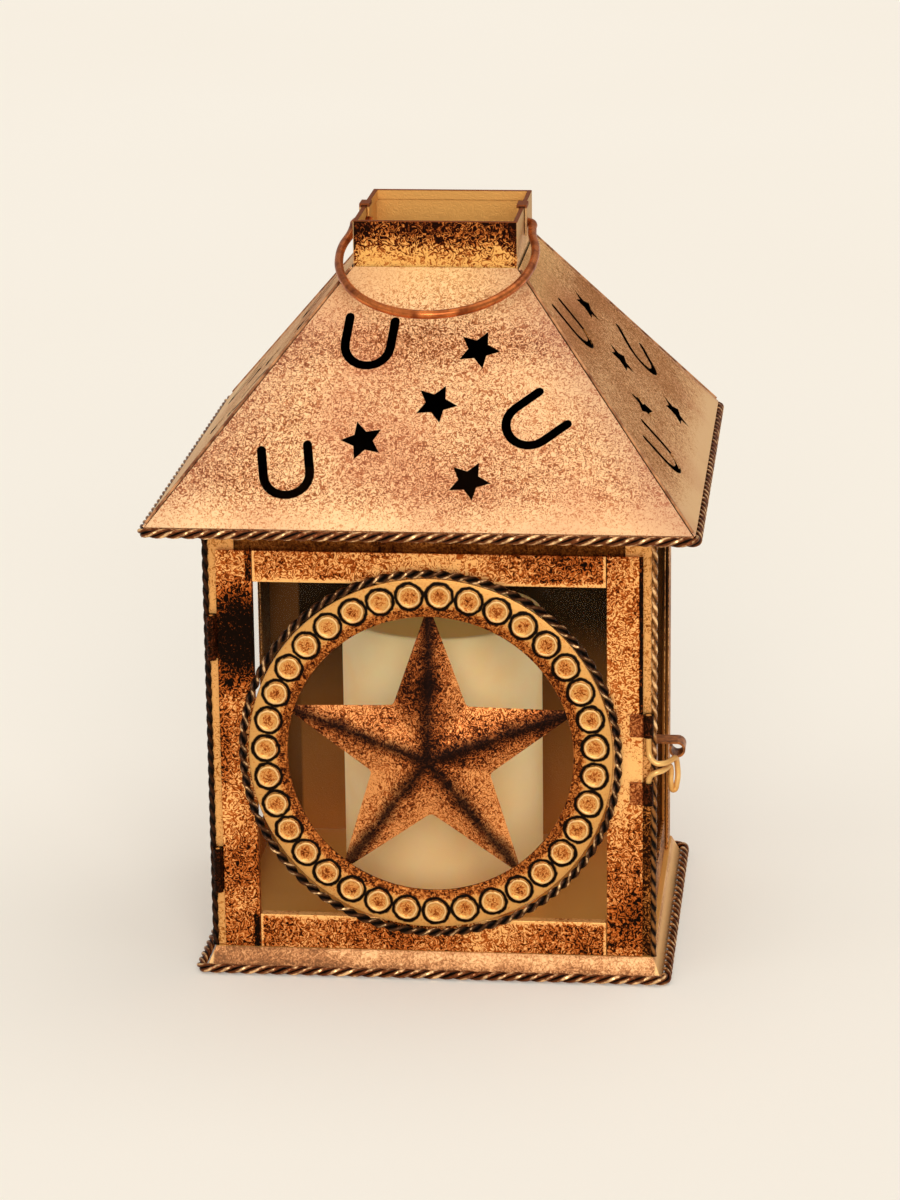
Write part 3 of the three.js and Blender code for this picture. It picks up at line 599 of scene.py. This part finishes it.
def glass_finish():
    finish, tree, surface, spot = new_finish("clear_pane")
    dust = cloud(tree, spot, 30.0, 4.0, 0.6)
    film = blend(tree, dust, tone(104, 78, 46), tone(132, 100, 60))
    tree.links.new(film, surface.inputs["Base Color"])
    tree.links.new(ramp(tree, dust, 0.3, 0.7, 0.015, 0.04), surface.inputs["Alpha"])
    tree.links.new(ramp(tree, dust, 0.3, 0.7, 0.05, 0.14), surface.inputs["Roughness"])
    return finish


def wax_finish():
    finish, tree, surface, spot = new_finish("ivory_wax")
    x, y, z = axes_of(tree, spot)
    haze = cloud(tree, spot, 40.0, 3.0)
    colour = blend(tree, ramp(tree, haze, 0.35, 0.7), tone(255, 230, 178), tone(253, 212, 150))
    colour = blend(tree, ramp(tree, z, 0.02, 0.09, 0.5, 0.0), colour, tone(240, 202, 142))
    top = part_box("candle")[1].z
    out = length_of(tree, maths(tree, "SUBTRACT", x, middle("candle").x), y)
    # The sunken top is amber, partly melted wax and partly painted shade in the hollow.
    sunken = ramp(tree, z, top - 0.0028, top - 0.0008, 1.0, 0.0)
    bowl = times(tree, sunken, ramp(tree, out, 0.0345, 0.0365, 1.0, 0.0))
    colour = blend(tree, bowl, colour, tone(250, 196, 104))
    tree.links.new(colour, surface.inputs["Base Color"])
    surface.inputs["Subsurface Weight"].default_value = 0.6
    surface.inputs["Subsurface Radius"].default_value = (1.0, 0.55, 0.25)
    surface.inputs["Subsurface Scale"].default_value = 0.012
    surface.inputs["Specular IOR Level"].default_value = 0.3
    surface.inputs["Emission Color"].default_value = tone(255, 186, 100)
    surface.inputs["Emission Strength"].default_value = 0.085
    tree.links.new(ramp(tree, haze, 0.3, 0.7, 0.38, 0.55), surface.inputs["Roughness"])
    return finish


pane_glass = glass_finish()
candle_wax = wax_finish()
print("glass and wax made")

# %% [markdown]
# ## Helpers for modelling
# A new piece is made with the same operators as by hand, then its place is applied to the mesh, it
# is given its finish and it is told which body it rides on and which plain solid it stands for.

# %% Modelling helpers
def fresh():
    if bpy.context.mode != "OBJECT":
        bpy.ops.object.mode_set(mode="OBJECT")
    bpy.ops.object.select_all(action="DESELECT")


def only(piece):
    fresh()
    piece.select_set(True)
    bpy.context.view_layer.objects.active = piece


def settle(piece, place=(0, 0, 0), turn=(0, 0, 0)):
    only(piece)
    piece.location = Vector(piece.location) + Vector(place)
    piece.rotation_euler = turn
    bpy.ops.object.transform_apply(location=True, rotation=True, scale=True)


def use(piece, modifier, kind, **settings):
    only(piece)
    step = piece.modifiers.new(modifier, kind)
    for key, value in settings.items():
        setattr(step, key, value)
    bpy.ops.object.modifier_apply(modifier=modifier)


def tidy_normals(piece, merge=0.00001):
    only(piece)
    bpy.ops.object.mode_set(mode="EDIT")
    bpy.ops.mesh.select_all(action="SELECT")
    bpy.ops.mesh.remove_doubles(threshold=merge)
    bpy.ops.mesh.normals_make_consistent(inside=False)
    bpy.ops.object.mode_set(mode="OBJECT")


def hand_over(piece, name, finish, body, slot, *stands_for):
    piece.name = name
    piece.data.materials.clear()
    piece.data.materials.append(finish)
    only(piece)
    bpy.ops.object.shade_smooth_by_angle(angle=math.radians(38))
    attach(piece, body)
    if stands_for:
        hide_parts(*stands_for)
    print(name, len(piece.data.polygons), "faces, rides on", body)


print("modelling helpers ready")

# %% [markdown]
# ## Twisted wire
# Round strands are swept up a screw to make a straight twist, two for the corners and the medallion
# and three for the eave and base, which is how the real trim is made before it is bent and soldered
# on. A curve modifier then bends the straight length round the eave, the base and the medallion.
# The length is a whole number of turns, so the strands meet themselves where the ring closes.

# %% Make a straight twist and bend it
def straight_twist(length, thickness, lay, fullness=0.29, strands=2):
    fresh()
    turns = max(2, round(length / lay))
    strand = fullness * thickness
    offset = thickness / 2 - strand
    bpy.ops.mesh.primitive_circle_add(vertices=9, radius=strand, location=(offset, 0, 0))
    twist = bpy.context.object
    bpy.ops.object.mode_set(mode="EDIT")
    for index in range(1, strands):
        angle = 2 * math.pi * index / strands
        spot = (offset * math.cos(angle), offset * math.sin(angle), 0)
        bpy.ops.mesh.primitive_circle_add(vertices=9, radius=strand, location=spot)
    settle(twist)
    use(twist, "lay", "SCREW", axis="Z", angle=-2 * math.pi, screw_offset=length / turns,
        iterations=turns, steps=18, render_steps=18)
    crown = twist.data.attributes.new("crown", "FLOAT", "POINT")
    for spot, value in zip(twist.data.vertices, crown.data):
        value.value = math.hypot(spot.co.x, spot.co.y) / (thickness / 2)
    return twist


def close_ends(twist):
    only(twist)
    bpy.ops.object.mode_set(mode="EDIT")
    bpy.ops.mesh.select_all(action="SELECT")
    bpy.ops.mesh.fill_holes(sides=0)
    bpy.ops.object.mode_set(mode="OBJECT")


def bend_round(twist, path):
    settle(twist, turn=(0, math.radians(90), 0))
    use(twist, "bend", "CURVE", object=path, deform_axis="POS_X")
    bpy.data.objects.remove(path)
    tidy_normals(twist, 0.00025)


def rectangle_path(half_x, half_y, corner=0.003):
    fresh()
    bpy.ops.mesh.primitive_plane_add(size=2.0)
    path = bpy.context.object
    path.scale = (half_x, half_y, 1.0)
    settle(path)
    bpy.ops.object.mode_set(mode="EDIT")
    bpy.ops.mesh.delete(type="ONLY_FACE")
    bpy.ops.mesh.select_all(action="SELECT")
    bpy.ops.mesh.bevel(offset=corner, segments=4, affect="VERTICES")
    bpy.ops.object.mode_set(mode="OBJECT")
    bpy.ops.object.convert(target="CURVE")
    return path


def path_length(path):
    return sum(spline.calc_length() for spline in path.data.splines)


for name, node in (("eave_twist", "eave_rope"), ("base_twist", "base_rope")):
    low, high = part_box(node)
    thickness = high.z - low.z
    inset = thickness / 2 + 0.0004
    path = rectangle_path((high.x - low.x) / 2 - inset, (high.y - low.y) / 2 - inset)
    twist = straight_twist(path_length(path), 1.05 * thickness, lay=0.0172, fullness=0.25, strands=3)
    bend_round(twist, path)
    settle(twist, middle(node))
    hand_over(twist, name, twist_paint, "lantern", "dark_copper_paint", node)

# %% Stand a twist on each front corner
for side in ("left", "right"):
    node = "corner_rope_" + side
    low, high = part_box(node)
    twist = straight_twist(high.z - low.z, high.x - low.x, lay=0.0100, fullness=0.36)
    close_ends(twist)
    tidy_normals(twist)
    inward = -0.0009 if low.x > 0 else 0.0009
    settle(twist, ((low.x + high.x) / 2 + inward, (low.y + high.y) / 2, low.z))
    paint = sooty_twist_paint if side == "left" else latch_twist_paint
    hand_over(twist, "corner_twist_" + side, paint, "lantern", "dark_copper_paint", node)

# %% Bend a twist round the medallion
low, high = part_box("medallion_rope")
thickness = high.y - low.y
fresh()
bpy.ops.curve.primitive_bezier_circle_add(radius=(high.x - low.x - thickness) / 2)
rim_path = bpy.context.object
rim_path.data.resolution_u = 48
bpy.ops.object.convert(target="MESH")
bpy.ops.object.convert(target="CURVE")
rim = straight_twist(path_length(rim_path), 0.95 * thickness, lay=0.0110, fullness=0.28)
bend_round(rim, rim_path)
settle(rim, middle("medallion_rope"), (math.radians(90), 0, 0))
hand_over(rim, "medallion_twist", rim_twist_paint, "door", "dark_copper_paint", "medallion_rope")

# %% [markdown]
# ## The beaded ring
# The ring is a flat stamped band with a chain of round beads, each sitting in a black groove that
# touches the next. The band starts as a disc whose faces are inset and bridged into a hole. One
# bead is shaped with inset and bevel, then copied round. The grooves and the cream bead edges,
# partly worn paint and partly painted highlight, are painted by measuring each point's distance to
# its nearest bead.

# %% Ring measurements and paint
ring_low, ring_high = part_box("medallion_ring")
star_low, star_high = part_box("medallion_star")
hub = middle("medallion_rope")
ring_outer = (ring_high.x - ring_low.x) / 2
ring_back = ring_high.y
ring_hole = (star_high.x - star_low.x) / 2 / math.sin(math.radians(72)) + 0.0003
BEADS = 35
BEAD_PHASE = 0.37
bead_circle = (ring_outer + ring_hole) / 2 + 0.0008
bead_radius = 0.0041
groove_radius = math.pi * bead_circle / BEADS


def medallion_polar(tree, spot):
    x, z = axes_of(tree, spot)[::2]
    up = maths(tree, "SUBTRACT", z, hub.z)
    return length_of(tree, x, up), maths(tree, "ARCTAN2", x, up)


def to_nearest(tree, angle, count, phase):
    turns = maths(tree, "SUBTRACT", times(tree, angle, count / (2 * math.pi)), phase)
    rest = maths(tree, "SUBTRACT", maths(tree, "FRACT", total(tree, turns, 100.5)), 0.5)
    return times(tree, rest, 2 * math.pi / count)


def ring_finish():
    finish, tree, surface, spot = new_finish("beaded_ring_sponge")
    out, angle = medallion_polar(tree, spot)
    along = times(tree, to_nearest(tree, angle, BEADS, BEAD_PHASE), bead_circle)
    away = maths(tree, "SUBTRACT", out, bead_circle)
    reach = length_of(tree, along, away)
    tones = (tone(44, 17, 4), tone(140, 66, 20), tone(202, 122, 56), tone(218, 160, 88))
    beyond = ramp(tree, out, ring_hole + 0.0030, ring_hole + 0.0052, 0.08, -0.22)
    heart = ramp(tree, reach, 0.0014, 0.0036, 0.22, 0.0)
    dirt_and_shading = total(tree, beyond, heart)
    colour, shade = sponge(tree, spot, tones, dirt_and_shading, worm=460.0, smoke=0.2, curl=0.09)
    ragged = total(tree, reach, swing(tree, cloud(tree, spot, 420.0, 2.0), 0.0012))
    beyond_bead = ramp(tree, ragged, bead_radius - 0.0001, bead_radius + 0.0003)
    within_groove = ramp(tree, ragged, groove_radius - 0.0001, groove_radius + 0.0003, 1.0, 0.0)
    # A cream ring at each bead's edge: partly worn paint, partly painted highlight.
    worn_edge_highlight = band(tree, ragged, bead_radius - 0.0009, bead_radius - 0.0001, 0.55, 0.0004)
    colour = blend(tree, worn_edge_highlight, colour, tone(255, 224, 164))
    colour = blend(tree, times(tree, beyond_bead, within_groove), colour, tone(18, 9, 4))
    sponged_surface(tree, surface, colour, shade)
    return finish


ring_paint = ring_finish()
print("ring hole", round(ring_hole * 1000, 1), "mm, bead circle", round(bead_circle * 1000, 1), "mm")

# %% Model the band and one bead
def pick_faces(piece, test):
    bpy.ops.object.mode_set(mode="EDIT")
    bpy.ops.mesh.select_mode(type="FACE")
    bpy.ops.mesh.select_all(action="DESELECT")
    bpy.ops.object.mode_set(mode="OBJECT")
    for face in piece.data.polygons:
        face.select = test(face)
    bpy.ops.object.mode_set(mode="EDIT")


FOLD_ANGLE = math.radians(40)
band_thickness = 0.0012
fresh()
bpy.ops.mesh.primitive_cylinder_add(vertices=180, radius=ring_outer, depth=band_thickness)
ring = bpy.context.object
pick_faces(ring, lambda face: abs(face.normal.z) > 0.9)
bpy.ops.mesh.inset(thickness=ring_outer - ring_hole, use_individual=True)
bpy.ops.mesh.delete(type="FACE")
bpy.ops.mesh.select_mode(type="EDGE")
bpy.ops.mesh.select_non_manifold()
bpy.ops.mesh.bridge_edge_loops()
tidy_normals(ring)
use(ring, "edge", "BEVEL", width=0.00035, segments=2, limit_method="ANGLE", angle_limit=FOLD_ANGLE)
settle(ring, (0, 0, band_thickness / 2))

bead_height, bead_root = 0.0009, 0.0006
fresh()
bpy.ops.mesh.primitive_cylinder_add(vertices=24, radius=bead_radius, depth=bead_height + bead_root)
bead = bpy.context.object
settle(bead, (0, 0, band_thickness + (bead_height - bead_root) / 2))
pick_faces(bead, lambda face: face.normal.z > 0.9)
bpy.ops.mesh.inset(thickness=0.0007)
bpy.ops.mesh.inset(thickness=0.0007)
bpy.ops.transform.translate(value=(0, 0, -0.00045))
bpy.ops.mesh.inset(thickness=0.0013)
bpy.ops.transform.translate(value=(0, 0, 0.00018))
bpy.ops.object.mode_set(mode="OBJECT")
use(bead, "edge", "BEVEL", width=0.0003, segments=2, limit_method="ANGLE", angle_limit=FOLD_ANGLE)
print("bead has", len(bead.data.polygons), "faces")

# %% Copy the bead round the ring
copies = [ring]
for index in range(BEADS):
    angle = 2 * math.pi * (index + BEAD_PHASE) / BEADS
    copy = bead.copy()
    copy.data = bead.data.copy()
    bpy.context.scene.collection.objects.link(copy)
    copy.location = (bead_circle * math.sin(angle), bead_circle * math.cos(angle), 0)
    copies.append(copy)
bpy.data.objects.remove(bead)
fresh()
for copy in copies:
    copy.select_set(True)
bpy.context.view_layer.objects.active = ring
bpy.ops.object.join()
settle(ring, (0, ring_back, hub.z), (math.radians(90), 0, 0))
hand_over(ring, "beaded_ring", ring_paint, "door", "gold_paint", "medallion_ring")

# %% [markdown]
# ## The raised star
# The star is pressed from the same sheet: ten facets rise to a point, and its arms run into the
# ring. A ten-sided cone becomes a star when every second corner is pulled in. The ridges are
# bevelled, because pressed metal never has a knife edge, and soot is wiped along them and into the
# middle.

# %% Paint for the star
STAR_ARMS = 5


def star_finish():
    finish, tree, surface, spot = new_finish("star_sponge")
    out, angle = medallion_polar(tree, spot)
    off_ridge = maths(tree, "SINE", to_nearest(tree, angle, STAR_ARMS, 0.0))
    from_ridge = times(tree, out, absolute(tree, off_ridge))
    ridge = ramp(tree, from_ridge, 0.001, 0.011, 0.10, -0.08)
    heart = ramp(tree, out, 0.003, 0.016, 0.12, 0.0)
    upward = axes_of(tree, tree.nodes.new("ShaderNodeNewGeometry").outputs["True Normal"])[2]
    # Painted light: facets that face up are a little lighter and those that face down a little darker,
    # as if lit from above.
    facet = ramp(tree, upward, -0.3, 0.3, 0.04, -0.04)
    low_arms = ramp(tree, axes_of(tree, spot)[2], hub.z - 0.035, hub.z + 0.015, -0.14, 0.02)
    tones = (tone(36, 15, 6), tone(116, 54, 20), tone(184, 98, 44), tone(232, 156, 90))
    # The left side of the top arm is darker.
    darker_arm_patch = smudge(tree, spot, (-0.012, star_low.y, hub.z + 0.028), 0.019, 0.14)
    dirt_and_shading = total(tree, ridge, heart, facet, low_arms, darker_arm_patch)
    colour, shade = sponge(tree, spot, tones, dirt_and_shading, worm=500.0, smoke=0.45, curl=0.13)
    waver = swing(tree, cloud(tree, spot, 110.0, 3.0, 0.6), 0.006)
    soot = ramp(tree, total(tree, from_ridge, waver), 0.0004, 0.0042, 0.92, 0.0)
    colour = blend(tree, soot, colour, tone(24, 11, 7))
    sponged_surface(tree, surface, colour, shade)
    return finish


star_paint = star_finish()
print("star paint made")

# %% Model the star
star_rise = star_high.y - star_low.y
star_tip = ring_hole + 0.0048
star_waist = 0.023
SHEET = 0.0011
fresh()
bpy.ops.mesh.primitive_cone_add(vertices=2 * STAR_ARMS, radius1=star_tip, radius2=0.0, depth=star_rise,
                                end_fill_type="NOTHING")
star = bpy.context.object
settle(star, (0, 0, star_rise / 2))
bpy.ops.object.mode_set(mode="EDIT")
bpy.ops.mesh.select_mode(type="VERT")
bpy.ops.mesh.select_all(action="DESELECT")
bpy.ops.object.mode_set(mode="OBJECT")
for corner in star.data.vertices:
    spoke = round(math.atan2(corner.co.x, corner.co.y) * STAR_ARMS / math.pi)
    corner.select = corner.co.z < star_rise / 2 and spoke % 2 != 0
bpy.ops.object.mode_set(mode="EDIT")
pull = star_waist / star_tip
bpy.ops.transform.resize(value=(pull, pull, 1.0), center_override=(0, 0, 0))
bpy.ops.mesh.select_mode(type="EDGE")
bpy.ops.mesh.select_all(action="DESELECT")
bpy.ops.object.mode_set(mode="OBJECT")
for edge in star.data.edges:
    edge.select = max(star.data.vertices[i].co.z for i in edge.vertices) > star_rise / 2
bpy.ops.object.mode_set(mode="EDIT")
bpy.ops.mesh.bevel(offset=SHEET, segments=3, affect="EDGES")
bpy.ops.object.mode_set(mode="OBJECT")
use(star, "sheet", "SOLIDIFY", thickness=SHEET, offset=-1.0)
fresh()
bpy.ops.mesh.primitive_cylinder_add(vertices=180, radius=ring_hole, depth=0.06)
trimmer = bpy.context.object
use(star, "trim", "BOOLEAN", object=trimmer, operation="INTERSECT", solver="EXACT")
bpy.data.objects.remove(trimmer)
tidy_normals(star)
settle(star, (0, star_high.y, hub.z), (math.radians(90), 0, 0))
hand_over(star, "pressed_star", star_paint, "door", "copper_paint", "medallion_star")

# %% [markdown]
# ## Bail and hasp
# Both are bent from round wire. A curve through the bends with smooth handles, given a round
# section and turned into a mesh, flows the way wire does over a former. The bail is drawn flat and
# then tipped forward until it rests just above the roof. The bends are given in millimetres, as on
# a drawing.

# %% Bend the wires
def bent_wire(points, radius):
    fresh()
    bpy.ops.curve.primitive_bezier_curve_add()
    wire = bpy.context.object
    wire.data.dimensions = "3D"
    spline = wire.data.splines[0]
    spline.bezier_points.add(len(points) - 2)
    for bend, point in zip(spline.bezier_points, points):
        bend.co = [value / 1000 for value in point]
        bend.handle_left_type = bend.handle_right_type = "AUTO"
    wire.data.resolution_u = 8
    wire.data.bevel_depth = radius / 1000
    wire.data.bevel_resolution = 4
    wire.data.use_fill_caps = True
    only(wire)
    bpy.ops.object.convert(target="MESH")
    tidy_normals(wire, 0.000005)
    return wire


bail_joint = next(joint for joint in frame["joints"] if joint["name"] == "bail_hinge")
BAIL_RADIUS = 1.6
BAIL_LEAN = math.radians(17.0)
BOW_STEPS = 9
elbow_width, bow_start, bow_width, bow_centre, bow_depth = 33.2, 10.0, 35.8, 25.4, 44.8
half = [(26.8, 0), (elbow_width - 1.4, 0), (elbow_width - 0.2, 1.26), (elbow_width, bow_start / 2)]
first = math.asin((bow_start - bow_centre) / bow_depth)
for step in range(BOW_STEPS):
    turn = first + (math.pi / 2 - first) * step / BOW_STEPS
    half.append((bow_width * math.cos(turn), bow_centre + bow_depth * math.sin(turn)))
route = [(-x, -v, 0) for x, v in half]
route.append((0, -bow_centre - bow_depth, 0))
route.extend((x, -v, 0) for x, v in reversed(half))
bail = bent_wire(route, BAIL_RADIUS)
settle(bail, bail_joint["pos_m"], (BAIL_LEAN, 0, 0))
hand_over(bail, "bail_wire", bail_paint, "bail", "copper_paint", "bail")

# %% Bend the hasp
hasp_joint = next(joint for joint in frame["joints"] if joint["name"] == "hasp_hinge")
HASP_RADIUS = 1.05
reach, back, leg_up, leg_down, tail = 9.9, 8.9, 1.55, -1.55, -11.7
inner, inner_back = 7.8, 8.1
route = [
    (0, 0, 19.8), (0, 0, leg_up + 7), (0.5, -0.4, leg_up + 2.6), (2.6, -1.4, leg_up + 0.4),
    (0.53 * reach, -0.7, leg_up), (0.78 * reach, 0.28 * back, leg_up),
    (0.95 * reach, 0.72 * back, leg_up - 0.2), (reach, back, leg_up - 2.6),
    (reach, back, tail + 2.5), (reach - 1.2, back - 0.5, tail), (inner, inner_back, tail + 2.5),
    (inner, inner_back, leg_down - 2.4), (0.95 * inner, 0.72 * back, leg_down - 0.2),
    (0.8 * inner, 0.32 * back, leg_down), (0.62 * inner, -0.1, leg_down), (2.6, -1.4, leg_down - 0.4),
    (0.5, -0.4, leg_down - 2.4), (0, 0, leg_down - 5), (0, 0, -14.9),
]
hasp = bent_wire(route, HASP_RADIUS)
settle(hasp, hasp_joint["pos_m"])
hand_over(hasp, "hasp_pin_wire", hasp_paint, "hasp", "pale_wire", "hasp_wire")

# %% [markdown]
# ## The candle
# A moulded pillar with a hollow burnt into its top. A cylinder's top face is inset and lowered in
# steps to make the soft rim and the bowl, and the edges are rounded. The wick is a short twist of
# cotton.

# %% Shape the candle and wick
BOWL_STEPS = (
    (0.0012, 0.0), (0.0020, 0.0003), (0.0012, 0.0008),
    (0.0020, 0.0010), (0.0050, 0.0006), (0.0100, 0.0002),
)
low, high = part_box("candle")
candle_radius = (high.x - low.x) / 2
fresh()
bpy.ops.mesh.primitive_cylinder_add(vertices=96, radius=candle_radius, depth=high.z - low.z)
candle = bpy.context.object
settle(candle, middle("candle"))
pick_faces(candle, lambda face: face.normal.z > 0.9)
for inset, drop in BOWL_STEPS:
    bpy.ops.mesh.inset(thickness=inset)
    bpy.ops.transform.translate(value=(0, 0, -drop))
bpy.ops.object.mode_set(mode="OBJECT")
use(candle, "rim", "BEVEL", width=0.0009, segments=3, limit_method="ANGLE",
    angle_limit=math.radians(35))
hand_over(candle, "pillar_candle", candle_wax, "lantern", "ivory_wax", "candle")

low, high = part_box("candle_wick")
wick = straight_twist(high.z - low.z, high.x - low.x, lay=0.003, fullness=0.27)
close_ends(wick)
tidy_normals(wick)
settle(wick, (middle("candle_wick").x, 0, low.z))
hand_over(wick, "cotton_wick", wick_cotton, "lantern", "wick_cotton", "candle_wick")

# %% [markdown]
# ## Paint the sheet metal
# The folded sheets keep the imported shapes. Folded sheet has slightly round edges that catch the
# light, so a weld and a small bevel are added to the pieces whose edges show. The eave rim is
# thickened a hair, as solder would, so that no daylight comes in under the roof.

# %% Give every remaining piece its finish
finishes = {
    roof_paint: ["roof_front", "roof_right", "roof_back", "roof_left"],
    eave_paint: ["eave_pan", "eave_rim"],
    chimney_paint: ["chimney_collar", "bail_ear_left", "bail_ear_right"],
    door_paint: ["door_stile_hinge", "door_stile_latch", "door_rail_top", "door_rail_bottom"],
    body_paint: ["post_front_left", "post_front_right", "post_back_left", "post_back_right",
                 "side_frame_left", "side_frame_right"],
    header_paint: ["header_band"],
    wall_paint: ["back_panel"],
    base_paint: ["base_tray"],
    dark_paint: ["hinge_upper_post_leaf", "hinge_lower_post_leaf", "hinge_upper_door_leaf",
                 "hinge_lower_door_leaf", "hasp_strap_upper", "hasp_strap_lower"],
    seam_paint: ["hip_seam_front_left", "hip_seam_front_right", "hip_seam_back_left",
                 "hip_seam_back_right"],
    catch_paint: ["hasp_catch"],
    hasp_paint: ["hinge_upper_pin", "hinge_lower_pin"],
    pane_glass: ["side_glass_left", "side_glass_right", "door_glass"],
}
for finish, names in finishes.items():
    for name in names:
        nodes[name].data.materials.clear()
        nodes[name].data.materials.append(finish)
    print(finish.name, len(names), "pieces")

# %% Round the folded edges
rounded = finishes[door_paint] + finishes[body_paint] + finishes[base_paint] + finishes[chimney_paint]
for name in rounded + ["eave_rim"]:
    weld = nodes[name].modifiers.new("weld", "WELD")
    weld.merge_threshold = 0.00001
for name in rounded:
    edge = nodes[name].modifiers.new("fold", "BEVEL")
    edge.width = 0.00022
    edge.segments = 2
    edge.limit_method = "ANGLE"
    edge.angle_limit = FOLD_ANGLE
solder = nodes["eave_rim"].modifiers.new("solder", "SOLIDIFY")
solder.thickness = 0.0005
solder.offset = 1.0
solder.use_even_offset = True
print("rounded the edges of", len(rounded), "sheets and closed the solder line under the roof")
